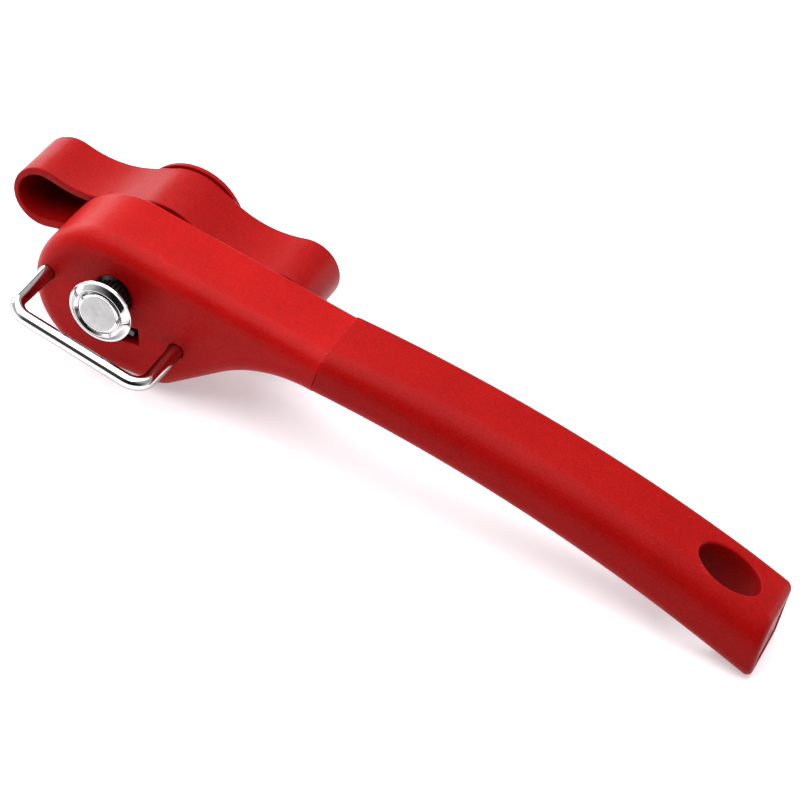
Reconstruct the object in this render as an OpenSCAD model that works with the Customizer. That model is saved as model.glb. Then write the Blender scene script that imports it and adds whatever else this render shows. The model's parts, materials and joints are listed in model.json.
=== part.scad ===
// Manual can opener, lying on its edge with the drive axis level.
// Drive frame: the origin is where the drive axis meets the head's front face, +X runs along the
// handle, +Y runs from the front face to the knob and +Z is up. placed() moves that frame so that
// the finished part stands on the plane z = 0 with its box centred on X and Y.

/* [Head] */
// Radius of the round end of the head
head_r = 18.7; // [16:0.1:20]
// Radius of the lower corner of the head beside the neck
corner_r = 8.6; // [8:0.1:11]
// Depth of the head from its front face to its back face
head_depth = 20; // [18.5:0.1:22]
// Radius of the soft edge round the front face
front_edge_r = 4.9; // [2:0.1:6]
// Radius of the edge round the back face
back_edge_r = 1.4; // [0.8:0.1:2]
// Distance from the drive axis to the seam between head and grip
seam_x = 51; // [48:0.2:54]
// Height of the top line of the neck above the drive axis
neck_top = 13.6; // [12:0.1:15]
// Height of the underside of the neck above the drive axis
neck_bottom = 1.5; // [0:0.1:3]

/* [Grip] */
// Distance from the drive axis to the end of the grip
grip_end_x = 168.3; // [150:0.1:180]
// Radius of the rounded edges at the end of the grip
end_edge_r = 1.8; // [1:0.1:3]
// Angle at which the grip's end face leans back towards its top
end_lean = 6; // [0:0.5:8]
// Length of the oval hanging slot
slot_length = 16.4; // [14:0.2:20]
// Width of the oval hanging slot
slot_width = 10.8; // [8:0.2:11]
// Solid length between the hanging slot and the end of the grip
slot_margin = 6.7; // [5:0.1:14]

/* [Drive] */
// Radius of the drive shaft
shaft_r = 2.8; // [2.6:0.1:3]
// Distance between the shaft axis and the axis of the eccentric bush
throw = 1; // [0.8:0.1:1.4]
// Radius of the eccentric bush
bush_r = 7.5; // [7.4:0.1:8]
// Running clearance between turning fits
run_gap = 0.05; // [0.03:0.01:0.08]
// How far the bush turns between closed and open, in degrees
bush_travel = 150; // [120:5:170]

/* [Wheels] */
// Radius of the cutting wheel
cutter_r = 8.1; // [7.5:0.1:8.5]
// Distance from the head's front face to the front of the cutting wheel
wheel_reach = 8.2; // [7.6:0.05:8.5]
// Tip radius of the toothed feed wheel
feed_r = 4.8; // [4.6:0.1:5.4]
// Number of teeth on the feed wheel
feed_teeth = 26; // [18:1:28]

/* [Guard wire] */
// Radius of the wire
wire_r = 1.75; // [1.5:0.05:1.9]
// Radius of each leg where it enters the head
leg_root_r = 1.95; // [1.9:0.05:2.2]
// Distance from the front face to the middle of the cross bar
guard_reach = 16.2; // [15:0.1:18]
// Radius of the bends, at the middle of the wire
wire_bend_r = 4.4; // [3.5:0.1:5]

/* [Knob] */
// Distance from the knob's centre to the centre of each lobe
lobe_x = 32; // [30:0.5:34]
// Radius of the lobes
lobe_r = 8.3; // [8:0.1:9]
// Radius of the round middle of the knob
middle_r = 13.3; // [13:0.1:14.5]
// Gap between the head's back face and the knob's rim
knob_gap = 0.9; // [0.4:0.1:2]
// Depth of the knob shell
knob_depth = 16.5; // [16:0.1:18]
// Wall thickness of the knob shell at the tips of its lobes
knob_wall = 1.7; // [1.4:0.1:2]
// Angle of the knob to the handle, in degrees
knob_turn = 7.3; // [0:0.1:20]

/* [Hidden] */
$fn = 72;
eps = 0.5;                 // how far a cutter runs past the face it opens
fit = 0.05;                // gap between pieces that are fixed to each other
red = "firebrick";
steel = "silver";

// ---- outlines: rings of circles joined by their common tangents ----
// A circle is [x, z, radius]; a positive radius bulges outwards and a negative one hollows inwards.
function heading(a, b) =   // direction of the outward normal on the tangent from a to b
    atan2(b[1] - a[1], b[0] - a[0]) - acos((a[2] - b[2]) / norm([b[0] - a[0], b[1] - a[1]]));
function sweep(from, to, side) = // turn from one normal to the next, with the sign of the side
    let (t = (to - from) % 360) side > 0 ? (t < 0 ? t + 360 : t) : (t > 0 ? t - 360 : t);
function arc_points(c, from, to, inset, step) =
    let (turn = sweep(from, to, c[2]), n = max(1, ceil(abs(turn) / step)))
    [for (i = [0:n]) let (a = from + turn * i / n)
        [c[0] + (c[2] - inset) * cos(a), c[1] + (c[2] - inset) * sin(a)]];
function ring_outline(ring, inset = 0, step = 9) =
    let (n = len(ring))
    [for (i = [0:n - 1])
        each arc_points(ring[i], heading(ring[(i + n - 1) % n], ring[i]),
                        heading(ring[i], ring[(i + 1) % n]), inset, step)];

// ---- head ----
head_c = [-3.5, neck_top - head_r];
corner_c = [12.6, -12.75];
underside_r = 30;
head_ring = [[head_c[0], head_c[1], head_r], [corner_c[0], corner_c[1], corner_r],
             [seam_x, neck_bottom - underside_r, -underside_r]];
function head_outline(inset, step = 9) = concat(   // from the seam over the top and back below
    [[seam_x, neck_top - inset]],
    arc_points(head_ring[0], 90, heading(head_ring[0], head_ring[1]), inset, step),
    arc_points(head_ring[1], heading(head_ring[0], head_ring[1]),
               heading(head_ring[1], head_ring[2]), inset, step),
    arc_points(head_ring[2], heading(head_ring[1], head_ring[2]), 270, inset, step));
// ring of the rear opening: the same head circles with a third one at the foot of the neck
cover_ring = [[22, 4.6, 8.8], [head_c[0], head_c[1], head_r], [corner_c[0], corner_c[1], corner_r]];
cover_inset = 2;
cover_t = 2.2;
cavity_inset = cover_inset + 1.2;
front_wall = 3;
cover_screw_at = [[-10.8, -9.2], [12.6, -13.2], [20.6, 4.4]];
screw_r = 1.2;
screw_head_r = 2.2;
screw_y = [7, head_depth - 0.4];

// ---- grip: two arcs for the top and bottom lines ----
top_arc = [90.3, 16.2, 370];      // x of the crest, height of the crest, radius
bottom_arc = [78.3, 2.7, 368];
function arc_z(arc, x) = arc[1] - arc[2] + sqrt(arc[2] * arc[2] - (x - arc[0]) * (x - arc[0]));
grip_len = grip_end_x - seam_x;
grip_front = [0.1, -0.55];       // y of the front side at the seam and at the end
grip_back = [19.9, 20.1];
grip_mid = [10, (arc_z(top_arc, grip_end_x) + arc_z(bottom_arc, grip_end_x)) / 2];   // y, z at the end
function leaning(x, z) =       // x of a point of the section at x, once the end face leans
    x - tan(end_lean) * (z - grip_mid[1]) * max(0, 1 - (grip_end_x - x) / 12);
function along(pair, x) = pair[0] + (pair[1] - pair[0]) * (x - seam_x) / grip_len;
socket_gap = 0.15;
tang_len = 26;
tang_y = [4, 15];
tang_z = [4.4, 11.4];
slot_c = [grip_end_x - slot_margin - slot_length / 2, 10.3];
pin_r = 1.5;
plug_t = 1.2;
plug_inset = 1.7;

// ---- drive: distances along the axis ----
bush_axis = [-throw, 0];
sleeve_r = 9;
sleeve_y = [2.4, head_depth - 0.1];
nose_r = shaft_r + 0.5;                // nose of the feed wheel, which reaches in to the bush
front_hole_r = nose_r + throw + 0.3;
boss_r = 11;
bush_y = [sleeve_y[0], head_depth + 0.15];
bush_flange = [8.7, 0.9];      // radius and thickness
groove_r = bush_r - 1.2;
stop_y = [4.2, 5.8];
stop_angle = -51;               // where the stop tab meets the bush, seen from the front
window_c = [6, -8.9];
window_size = [4.6, 4.4];
window_turn = 18;
thrust_y = [bush_y[0] - 0.6, bush_y[0] - 0.1];
cutter_y = [0.8 - wheel_reach, 2.6 - wheel_reach];
rim_y = cutter_y[0] + 0.2;      // front of the flat rim of the cutting wheel
rim_inner_r = 7.6;
ridge_r = 6.4;                  // raised ridge round the cutting wheel's hub
feed_y = [cutter_y[1] + 0.15, -0.4];
tooth_depth = 0.6;
cap_r = 5.2;
washer_y = [bush_y[1] + bush_flange[1] + 0.1, bush_y[1] + bush_flange[1] + 0.6];
clip_y = [washer_y[1] + 0.1, washer_y[1] + 0.8];
square_y = [clip_y[1] + 0.6, 33];
square_w = 3.9;

// ---- knob ----
knob_y = [head_depth + knob_gap, head_depth + knob_gap + knob_depth];
waist = [22.2, 32.9, -26];
knob_side_wall = knob_wall + 0.5;
function knob_ring(wall = 0, shift = 0) =   // shift moves the lobes' circles outwards
    let (w = waist[2] - wall, lobe = lobe_r - wall, middle = middle_r - wall, x = lobe_x + shift)
    [[x, 0, lobe], [waist[0], waist[1], w], [0, 0, middle], [-waist[0], waist[1], w],
     [-x, 0, lobe], [-waist[0], -waist[1], w], [0, 0, middle], [waist[0], -waist[1], w]];
knob_face_t = 2.2;
hub_r = 6.5;
hub_y = [clip_y[1] + 0.15, knob_y[1] - knob_face_t];
cap_recess = [11.5, 1];         // radius and depth of the recess for the hub cap's spigot
hub_cap_r = 13.7;
hub_cap_t = 1.7;

// ---- guard ----
leg_at = [[-17.8, -4.4], [17.8, -6.1]];
leg_tilt = atan2(leg_at[1][1] - leg_at[0][1], leg_at[1][0] - leg_at[0][0]);
leg_span = norm(leg_at[1] - leg_at[0]);
leg_end_y = 12;
clamp_t = 1.5;
spigot_r = 1.3;

// ---- where the part stands ----
end_z = [arc_z(bottom_arc, grip_end_x) + end_edge_r, arc_z(top_arc, grip_end_x) - end_edge_r];
end_low = [leaning(grip_end_x, end_z[0]) - end_edge_r,
           arc_z(bottom_arc, grip_end_x - 0.7 * end_edge_r) + end_edge_r, end_edge_r];
rest_pitch = heading(head_ring[0], end_low) + 90;   // slope of the line that both ends rest on
function placed_x(p) = p[0] * cos(rest_pitch) + p[1] * sin(rest_pitch);
function placed_z(p) = -p[0] * sin(rest_pitch) + p[1] * cos(rest_pitch);
x_low = placed_x([-lobe_x * cos(knob_turn), -lobe_x * sin(knob_turn)]) - lobe_r;
x_high = max([for (z = end_z) placed_x([leaning(grip_end_x, z), z])]);
y_low = -guard_reach - wire_r;
y_high = knob_y[1] + hub_cap_t;
z_low = placed_z(head_c) - head_r;

module placed() {
    translate([-(x_low + x_high) / 2, -(y_low + y_high) / 2, -z_low])
        rotate([0, rest_pitch, 0]) children();
}

// ---- shared shapes ----
// Prism along Y of a flat shape drawn in the X-Z plane.
module slab(y0, y1) {
    translate([0, y1, 0]) rotate([90, 0, 0]) linear_extrude(y1 - y0) children();
}

// Round bar along Y.
module bar(c, r, y0, y1, tip_r = -1) {
    translate([c[0], y0, c[1]]) rotate([-90, 0, 0])
        cylinder(r1 = tip_r < 0 ? r : tip_r, r2 = r, h = y1 - y0);
}

// Solid through a stack of equal-length rings of points.
module stack(rings) {
    n = len(rings[0]);
    m = len(rings);
    polyhedron(points = [for (ring = rings) each ring],
        faces = concat([[for (i = [n - 1:-1:0]) i]],
            [for (k = [0:m - 2], i = [0:n - 1]) let (j = (i + 1) % n)
                [k * n + i, k * n + j, (k + 1) * n + j, (k + 1) * n + i]],
            [[for (i = [0:n - 1]) (m - 1) * n + i]]));
}

// [depth, inset] pairs of a rounded edge from a to b, starting on the face at depth a.
function edge_steps(a, b, r_a, r_b, n = 4) = concat(
    [for (i = [0:n]) let (t = 90 * i / n) [a + r_a * (1 - cos(t)), r_a * (1 - sin(t))]],
    [for (i = [n:-1:0]) let (t = 90 * i / n) [b - r_b * (1 - cos(t)), r_b * (1 - sin(t))]]);

// ---- head and its covers ----
module head_skin() {
    stack([for (s = edge_steps(0, head_depth, front_edge_r, back_edge_r))
        [for (p = head_outline(s[1])) [p[0], s[0], p[1]]]]);
}

module head_housing() {
    color(red) placed() difference() {
        union() {
            difference() {
                head_skin();
                slab(front_wall, head_depth + eps) polygon(ring_outline(cover_ring, cavity_inset));
                slab(head_depth - cover_t - 0.1, head_depth + eps)
                    polygon(ring_outline(cover_ring, cover_inset));
            }
            bar(bush_axis, boss_r, front_wall - eps, head_depth - cover_t - 0.15);
            for (p = cover_screw_at)
                bar(p, 2.6, front_wall - eps, head_depth - cover_t - 0.15);
            for (p = leg_at) bar(p, leg_root_r + 1.1, front_wall - eps, leg_end_y - 0.1);
            translate([seam_x - 2, tang_y[0], tang_z[0]])
                cube([tang_len + 2, tang_y[1] - tang_y[0], tang_z[1] - tang_z[0]]);
        }
        bar(bush_axis, front_hole_r, -eps, sleeve_y[0] + eps);
        bar(bush_axis, sleeve_r + fit, sleeve_y[0] - fit, head_depth);
        for (p = cover_screw_at) bar(p, screw_r + fit, screw_y[0] - 1, head_depth);
        for (p = leg_at) bar(p, leg_root_r + fit, -eps, head_depth - cover_t - 1);
        slab(-eps, stop_y[1] + 0.1) translate(window_c) rotate(window_turn)
            square(window_size, center = true);
        slab(stop_y[0] - 0.1, stop_y[1] + 0.1) stop_shape(0.1);
        translate([seam_x + tang_len / 2, (tang_y[0] + tang_y[1]) / 2, -eps])
            cylinder(r = pin_r + fit, h = tang_z[1] + eps + 1);
    }
}

module rear_cover() {
    color(red) placed() difference() {
        slab(head_depth - cover_t, head_depth) polygon(ring_outline(cover_ring, cover_inset + 0.1));
        bar(bush_axis, sleeve_r + fit, 0, head_depth + eps);
        for (p = cover_screw_at) {
            bar(p, screw_r + 0.2, 0, head_depth + eps);
            bar(p, screw_head_r + 0.1, screw_y[1] - 1.3, head_depth + eps);
        }
    }
}

module cover_screws() {
    color(steel) placed() for (p = cover_screw_at) difference() {
        union() {
            bar(p, screw_r, screw_y[0], screw_y[1] - 1);
            bar(p, screw_head_r, screw_y[1] - 1.2, screw_y[1]);
        }
        for (turn = [45, 135]) translate([p[0], screw_y[1], p[1]]) rotate([0, turn, 0])
            cube([2.6, 1.2, 0.5], center = true);
    }
}

// Outline of the stop plate: a tab that reaches into the bush's groove and a tail at the window.
module stop_shape(grow = 0) {
    translate(bush_axis) rotate(stop_angle)
        translate([groove_r + 0.2 - grow, -1.2 - grow]) square([7.6 + 2 * grow, 2.4 + 2 * grow]);
}

module stop_plate() {
    color(steel) placed() {
        slab(stop_y[0], stop_y[1]) stop_shape();
        translate([window_c[0] - 1.2, 0.9, window_c[1] - 0.6])
            cube([1.9, stop_y[0] - 0.9 + 0.2, 1.4]);
    }
}

module bearing_sleeve() {
    color(steel) placed() difference() {
        bar(bush_axis, sleeve_r, sleeve_y[0], sleeve_y[1]);
        bar(bush_axis, bush_r + run_gap, -eps, head_depth + eps);
        slab(stop_y[0] - 0.1, stop_y[1] + 0.1) stop_shape(0.1);
    }
}

// ---- guard wire ----
module guard_bend(x, side) {
    translate([x + side * wire_bend_r, wire_bend_r - guard_reach, 0])
        rotate([0, 0, side > 0 ? 180 : 270])
            rotate_extrude(angle = 90) translate([wire_bend_r, 0]) circle(r = wire_r);
}

module guard_wire() {
    color(steel) placed() translate([leg_at[0][0], 0, leg_at[0][1]]) rotate([0, -leg_tilt, 0]) {
        for (x = [0, leg_span]) {
            bar([x, 0], leg_root_r, 0, leg_end_y);
            bar([x, 0], leg_root_r, wire_bend_r - guard_reach, 0, wire_r);
            bar([x, 0], spigot_r, leg_end_y, leg_end_y + clamp_t + 0.6);
        }
        guard_bend(0, 1);
        guard_bend(leg_span, -1);
        translate([wire_bend_r, -guard_reach, 0]) rotate([0, 90, 0])
            cylinder(r = wire_r, h = leg_span - 2 * wire_bend_r);
    }
}

module guard_clamp_plate() {
    color(steel) placed() difference() {
        intersection() {
            slab(leg_end_y + 0.05, leg_end_y + 0.05 + clamp_t)
                polygon(ring_outline(cover_ring, cavity_inset + 0.15));
            translate([-30, 0, leg_at[1][1] - 6]) cube([60, head_depth, 11]);
        }
        bar(bush_axis, boss_r + 0.2, 0, head_depth);
        for (p = leg_at) bar(p, spigot_r + fit, 0, head_depth);
        for (p = cover_screw_at) bar(p, 2.8, 0, head_depth);
    }
}

// ---- grip ----
// Rounded rectangle in the Y-Z plane; radii run front-top, front-bottom, back-bottom, back-top.
function grip_section(x, inset, x_face) =
    let (y0 = along(grip_front, x) + inset, y1 = along(grip_back, x) - inset,
         z0 = arc_z(bottom_arc, x) + inset, z1 = arc_z(top_arc, x) - inset,
         open = min(1, (x - seam_x) / 30),
         r = [5 + 2 * open, 4.6, 1.6 + open, 1.4 + 0.6 * open],
         c = [[y0, z1, 1, -1, 90], [y0, z0, 1, 1, 180], [y1, z0, -1, 1, 270], [y1, z1, -1, -1, 0]])
    [for (k = [3:-1:0]) let (q = max(0.3, r[k] - inset), n = k < 2 ? 7 : 4)
        for (i = [n:-1:0]) let (a = c[k][4] + 90 * i / n, z = c[k][1] + c[k][3] * q + q * sin(a))
            [leaning(x_face, z), c[k][0] + c[k][2] * q + q * cos(a), z]];

module grip_skin() {
    n = 16;
    stack(concat(
        [for (i = [0:n]) let (x = seam_x + 0.05 + (grip_len - end_edge_r - 0.05) * i / n)
            grip_section(x, 0, x)],
        [for (i = [1:4]) let (t = 90 * i / 4, x = grip_end_x - end_edge_r * (1 - sin(t)))
            grip_section(x, end_edge_r * (1 - cos(t)), x)]));
}

module plug_shape(grow = 0) {
    i = end_edge_r + plug_inset - grow;
    translate([0, along(grip_front, grip_end_x) + i, arc_z(bottom_arc, grip_end_x) + i])
        cube([plug_t + eps, along(grip_back, grip_end_x) - along(grip_front, grip_end_x) - 2 * i,
              arc_z(top_arc, grip_end_x) - arc_z(bottom_arc, grip_end_x) - 2 * i]);
}

module leaned() {
    translate([grip_end_x, 0, grip_mid[1]]) rotate([0, -end_lean, 0])
        translate([-grip_end_x, 0, -grip_mid[1]]) children();
}

module grip() {
    color(red) placed() difference() {
        grip_skin();
        translate([seam_x - eps, tang_y[0] - socket_gap, tang_z[0] - socket_gap])
            cube([tang_len + eps + 0.3, tang_y[1] - tang_y[0] + 2 * socket_gap,
                  tang_z[1] - tang_z[0] + 2 * socket_gap]);
        translate([seam_x + tang_len / 2, (tang_y[0] + tang_y[1]) / 2, -eps - 3])
            cylinder(r = pin_r + fit, h = tang_z[1] + 3 + eps);
        translate([slot_c[0], slot_c[1], -20]) linear_extrude(50)
            polygon([for (a = [0:9:351]) [slot_length * cos(a), slot_width * sin(a)] / 2]);
        leaned() translate([grip_end_x - plug_t, 0, 0]) plug_shape(0.1);
    }
}

module tang_pin() {
    color(steel) placed()
        translate([seam_x + tang_len / 2, (tang_y[0] + tang_y[1]) / 2,
                   arc_z(bottom_arc, seam_x + tang_len / 2) + 0.3])
            cylinder(r = pin_r, h = tang_z[1] - arc_z(bottom_arc, seam_x + tang_len / 2) - 1);
}

module end_plug() {
    color(red) placed() leaned() difference() {
        intersection() {
            translate([grip_end_x - plug_t + 0.05, 0, 0]) plug_shape();
            translate([0, -50, -50]) cube([grip_end_x - 0.3, 100, 100]);
        }
        translate([grip_end_x - 0.9, grip_mid[0], grip_mid[1]]) rotate([0, 90, 0])
            cylinder(r = 1, h = 3);
    }
}

// ---- eccentric bush ----
module eccentric_bush() {
    color("darkgray") placed() difference() {
        union() {
            bar(bush_axis, bush_r, bush_y[0], bush_y[1] + 0.1);
            bar(bush_axis, bush_flange[0], bush_y[1], bush_y[1] + bush_flange[1]);
        }
        bar([0, 0], shaft_r + run_gap, -eps, head_depth + 3);
        intersection() {
            difference() {
                bar(bush_axis, bush_r + 1, stop_y[0] - 0.2, stop_y[1] + 0.2);
                bar(bush_axis, groove_r, 0, head_depth);
            }
            slab(0, head_depth) translate(bush_axis) polygon(concat([[0, 0]],
                [for (a = [stop_angle - 13:7:stop_angle + bush_travel + 14]) 12 * [cos(a), sin(a)]]));
        }
    }
}

module friction_washer() {
    color(steel) placed() difference() {
        bar(bush_axis, 7.6, washer_y[0], washer_y[1]);
        bar([0, 0], shaft_r + 0.6, 0, washer_y[1] + eps);
    }
}

// ---- drive ----
module drive_shaft() {
    color(steel) placed() difference() {
        union() {
            bar([0, 0], shaft_r, cutter_y[0] - 0.2, square_y[0]);
            slab(square_y[0] - 0.1, square_y[1]) rotate(45) square(square_w, center = true);
        }
        difference() {
            bar([0, 0], shaft_r + 1, clip_y[0] - 0.05, clip_y[1] + 0.05);
            bar([0, 0], shaft_r - 0.6, 0, square_y[1]);
        }
        bar([0, 0], 1.25, square_y[1] - 9, square_y[1] + eps);
    }
}

module thrust_washer() {
    color(steel) placed() difference() {
        bar([0, 0], nose_r + 0.2, thrust_y[0], thrust_y[1]);
        bar([0, 0], shaft_r + fit, -5, 5);
    }
}

module feed_wheel() {
    pitch = 360 / feed_teeth;
    color("dimgray") placed() difference() {
        union() {
            slab(feed_y[0], feed_y[1]) polygon([for (i = [0:feed_teeth - 1], s = [0:3])
                let (a = pitch * (i + [0, 0.3, 0.5, 0.8][s]), r = feed_r - (s < 2 ? tooth_depth : 0))
                r * [cos(a), sin(a)]]);
            bar([0, 0], nose_r, feed_y[1] - 0.2, thrust_y[0] - 0.05);
        }
        bar([0, 0], shaft_r + fit, -8, 2);
    }
}

module cutter_wheel() {
    color(steel) placed() difference() {
        union() {
            bar([0, 0], cutter_r, rim_y, rim_y + 0.35);
            bar([0, 0], rim_inner_r, -wheel_reach, rim_y + 0.1, ridge_r);
            translate([0, cutter_y[1], 0]) rotate([90, 0, 0])
                cylinder(r1 = ridge_r - 0.2, r2 = cutter_r, h = cutter_y[1] - rim_y - 0.35);
        }
        bar([0, 0], shaft_r + 1, -8, 2);
        bar([0, 0], cap_r + 0.3, -wheel_reach - eps, cutter_y[0] - 0.1);
        bar([0, 0], cap_r + 0.3, -wheel_reach - 0.2, -wheel_reach + 0.4, ridge_r);
    }
}

module cutter_bushing() {
    color("darkgoldenrod") placed() difference() {
        bar([0, 0], shaft_r + 0.95, cutter_y[0] + 0.1, cutter_y[1]);
        bar([0, 0], shaft_r + run_gap, -8, 2);
    }
}

module wheel_cap() {
    color(steel) placed()
        bar([0, 0], cap_r, 0.15 - wheel_reach, cutter_y[0] - 0.25);
}

module shaft_clip() {
    color(steel) placed() difference() {
        bar([0, 0], 5.2, clip_y[0], clip_y[1]);
        bar([0, 0], shaft_r - 0.55, 0, 40);
        slab(0, 40) translate([0, -5]) square([3.6, 10], center = true);
    }
}

// ---- knob ----
module turned() {
    rotate([0, -knob_turn, 0]) children();
}

module knob_shell() {
    color(red) placed() turned() difference() {
        union() {
            difference() {
                slab(knob_y[0], knob_y[1]) polygon(ring_outline(knob_ring(), 0, 12));
                slab(knob_y[0] - eps, knob_y[1] - knob_face_t)
                    polygon(ring_outline(knob_ring(knob_side_wall, knob_side_wall - knob_wall), 0, 12));
            }
            bar([0, 0], hub_r, hub_y[0], hub_y[1] + 0.3);
            for (turn = [0:60:300]) rotate([0, turn, 0])
                translate([hub_r - 1, hub_y[0] + 3, -0.6])
                    cube([middle_r - hub_r, hub_y[1] - hub_y[0] - 2.8, 1.2]);
        }
        bar([0, 0], shaft_r + 0.2, hub_y[0] - eps, square_y[0] + 0.1);
        slab(square_y[0], square_y[1] + 0.3) rotate(45 - knob_turn)
            square(square_w + 0.2, center = true);
        bar([0, 0], 1.7, square_y[1], knob_y[1] + eps);
        bar([0, 0], cap_recess[0] + 0.1, knob_y[1] - cap_recess[1], knob_y[1] + eps);
    }
}

module knob_washer() {
    color(steel) placed() difference() {
        bar([0, 0], 4, knob_y[1] - cap_recess[1], knob_y[1] - cap_recess[1] + 0.5);
        bar([0, 0], 1.7, 0, 60);
    }
}

module knob_screw() {
    head_y = knob_y[1] - cap_recess[1] + 0.55;
    color(steel) placed() difference() {
        union() {
            bar([0, 0], 1.2, square_y[1] - 8, head_y + 0.1);
            bar([0, 0], 2.7, head_y, head_y + 1.1);
        }
        for (turn = [0, 90]) rotate([0, turn, 0]) translate([0, head_y + 1.1, 0])
            cube([3, 1.2, 0.6], center = true);
    }
}

module knob_hub_cap() {
    color(red) placed() difference() {
        union() {
            bar([0, 0], hub_cap_r, knob_y[1] + 0.02, knob_y[1] + hub_cap_t - 0.6);
            translate([0, knob_y[1] + hub_cap_t, 0]) rotate([90, 0, 0])
                cylinder(r1 = hub_cap_r - 0.6, r2 = hub_cap_r, h = 0.6);
            bar([0, 0], cap_recess[0], knob_y[1] - cap_recess[1] + 0.1, knob_y[1] + 0.1);
        }
        bar([0, 0], 5, knob_y[1] - cap_recess[1], knob_y[1] + 0.9);
    }
}

head_housing();
rear_cover();
cover_screws();
bearing_sleeve();
stop_plate();
guard_wire();
guard_clamp_plate();
grip();
tang_pin();
end_plug();
eccentric_bush();
friction_washer();
drive_shaft();
thrust_washer();
feed_wheel();
cutter_wheel();
cutter_bushing();
wheel_cap();
shaft_clip();
knob_shell();
knob_washer();
knob_screw();
knob_hub_cap();
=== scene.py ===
"""Manual can opener: detailed meshes, materials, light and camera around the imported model.

Lengths below are millimetres in the drive frame, which has its origin where the drive axis meets
the head's front face, +X along the handle, +Y from the front face to the knob and +Z up.
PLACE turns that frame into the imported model's frame, in metres.
"""
import json
import math

import bmesh
import bpy
from mathutils import Matrix, Vector


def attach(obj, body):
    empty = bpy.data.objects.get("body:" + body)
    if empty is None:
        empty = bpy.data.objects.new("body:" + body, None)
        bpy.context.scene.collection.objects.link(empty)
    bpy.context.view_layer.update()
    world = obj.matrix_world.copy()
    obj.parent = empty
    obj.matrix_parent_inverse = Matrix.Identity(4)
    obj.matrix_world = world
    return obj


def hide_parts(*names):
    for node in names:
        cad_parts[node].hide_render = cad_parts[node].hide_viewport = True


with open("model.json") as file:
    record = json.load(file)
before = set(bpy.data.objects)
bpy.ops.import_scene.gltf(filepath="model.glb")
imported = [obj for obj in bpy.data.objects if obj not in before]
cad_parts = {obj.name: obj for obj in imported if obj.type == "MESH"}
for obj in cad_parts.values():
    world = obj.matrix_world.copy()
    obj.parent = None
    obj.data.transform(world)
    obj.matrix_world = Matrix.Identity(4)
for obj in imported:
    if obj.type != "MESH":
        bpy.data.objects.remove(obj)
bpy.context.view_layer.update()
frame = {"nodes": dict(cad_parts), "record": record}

# ---- the drive frame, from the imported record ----
joint_at = {j["name"]: Vector(j["pos_m"]) for j in frame["record"]["behaviour"]["joints"]}
slot_mount = frame["record"]["mounts"][0]
REST_PITCH = math.atan2(slot_mount["axis"][0], slot_mount["axis"][2])
PLACE = (Matrix.Translation(joint_at["knob_spin"]) @ Matrix.Rotation(REST_PITCH, 4, "Y")
         @ Matrix.Scale(0.001, 4))
BUSH_AXIS = (-1.0, 0.0)
SKIN = 0.06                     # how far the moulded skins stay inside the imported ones

# ---- head ----
NECK_TOP = 13.6
NECK_BOTTOM = 1.5
SEAM_X = 51.0
HEAD_R = 18.7
UNDERSIDE_R = 30.0
HEAD = (-3.5, NECK_TOP - HEAD_R, HEAD_R)        # circles of the outline: x, z, radius
CORNER = (12.6, -12.75, 8.6)
UNDERSIDE = (SEAM_X, NECK_BOTTOM - UNDERSIDE_R, -UNDERSIDE_R)
NECK_FOOT = (22.0, 4.6, 8.8)
HEAD_DEPTH = 20.0
FRONT_EDGE_R = 4.9
BACK_EDGE_R = 1.4
FRONT_WALL = 3.0
FRONT_HOLE_R = 4.6
SLEEVE_R = 9.05
SLEEVE_Y = 2.35
BOSS_R = 11.0
WINDOW_C = (6.0, -8.9)
WINDOW_SIZE = (4.6, 4.4)
WINDOW_TURN = 18.0
COVER_INSET = 2.0
COVER_T = 2.2
CAVITY_INSET = 3.2
SCREWS = [(-10.8, -9.2), (12.6, -13.2), (20.6, 4.4)]
SCREW_HEAD_R = 2.3
SCREW_POST_R = 2.6
PILOT_R = 1.25
SHANK_HOLE_R = 1.4
LEG_POST_R = 3.2
TANG = ((4.0, 15.0), (4.4, 11.4), 26.0)         # its y range, z range and length
SOCKET_GAP = 0.15

# ---- guard wire ----
LEGS = [(-17.8, -4.4), (17.8, -6.1)]
WIRE_R = 1.75
LEG_ROOT_R = 1.95
LEG_END_Y = 12.0
SPIGOT = (1.3, 2.1)                             # radius and length of the leg's thin end
GUARD_REACH = 16.2
WIRE_BEND_R = 4.4

# ---- grip ----
GRIP_END_X = 168.3
END_EDGE_R = 1.8
END_LEAN = 6.0                                  # degrees
LEAN_LENGTH = 12.0                              # the stretch over which the sections start to lean
SEAM_EDGE_R = 0.15
SEAM_GAP = 0.04
TOP_ARC = (90.3, 16.2, 370.0)                   # x of the crest, height of the crest, radius
BOTTOM_ARC = (78.3, 2.7, 368.0)
GRIP_FRONT = (0.1, -0.55)                       # y of the front side at the seam and at the end
GRIP_BACK = (19.9, 20.1)
SLOT_C = (153.4, 10.3)
SLOT_SIZE = (16.4, 10.8)
SLOT_EDGE_R = 0.7
PLUG_T = 1.2
PLUG_INSET = 1.7
PLUG_GAP = 0.2
PLUG_SUNK = 0.32
GATE_R = 1.0

# ---- wheels ----
WHEEL_REACH = 8.2
CUTTER_R = 8.1
CUTTER_Y = (0.8 - WHEEL_REACH, 2.6 - WHEEL_REACH)
RIM_Y = CUTTER_Y[0] + 0.2
RIM_INNER_R = 7.55
RIDGE_R = 6.4
CAP_R = 5.2
GROOVE_R = 4.6
FEED_Y = (CUTTER_Y[1] + 0.15, -0.4)
FEED_R = 4.8
FEED_TEETH = 26
TOOTH_DEPTH = 0.6
# one tooth: shares of the pitch and of the depth
TOOTH = ((0.0, 1.0), (0.3, 1.0), (0.46, 0.15), (0.52, 0.0), (0.78, 0.0), (0.84, 0.15))
NOSE_R = 3.3
NOSE_Y = 1.75
SHAFT_R = 2.8

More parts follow.
